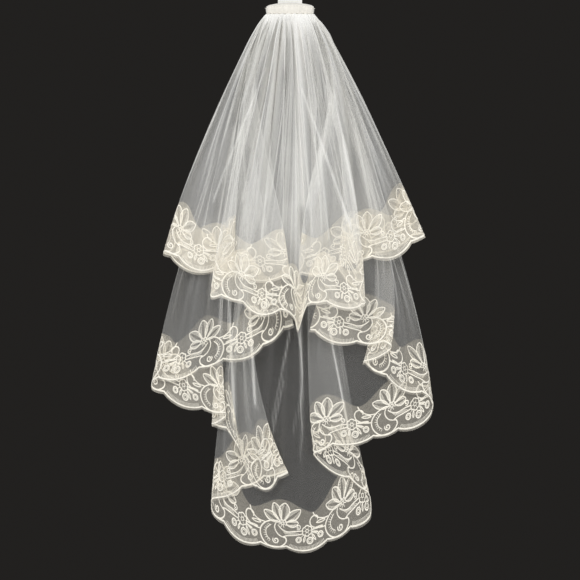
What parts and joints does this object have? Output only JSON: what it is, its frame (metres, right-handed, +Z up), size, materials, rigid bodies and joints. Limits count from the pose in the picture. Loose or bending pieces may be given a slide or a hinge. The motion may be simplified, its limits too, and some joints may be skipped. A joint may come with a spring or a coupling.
{
  "type": "bridal veil on a wall hook",
  "caption": "Short veil of sheer tulle in layered tiers with scalloped lace edging, gathered onto a comb that hangs from a plain wall hook.",
  "frame": {"origin": "centre of the hook plate's back face, on the wall", "axes": "+Y into the wall, +Z up, the veil's front faces -Y"},
  "size_m": [0.4621, 0.1023, 0.9466],
  "materials": {
    "tulle": "soft white net, sheer",
    "lace": "ivory embroidery on net",
    "gathered_tulle": "tulle rolled and stitched, opaque",
    "comb_plastic": "clear polished plastic",
    "hook_plastic": "plain white moulded plastic"
  },
  "bodies": {
    "root": {"upper_tier": "tulle", "lower_tier": "tulle", "upper_lace": "lace", "lower_lace": "lace", "gathered_band": "gathered_tulle", "comb": "comb_plastic", "wall_hook": "hook_plastic"}
  },
  "joints": []
}
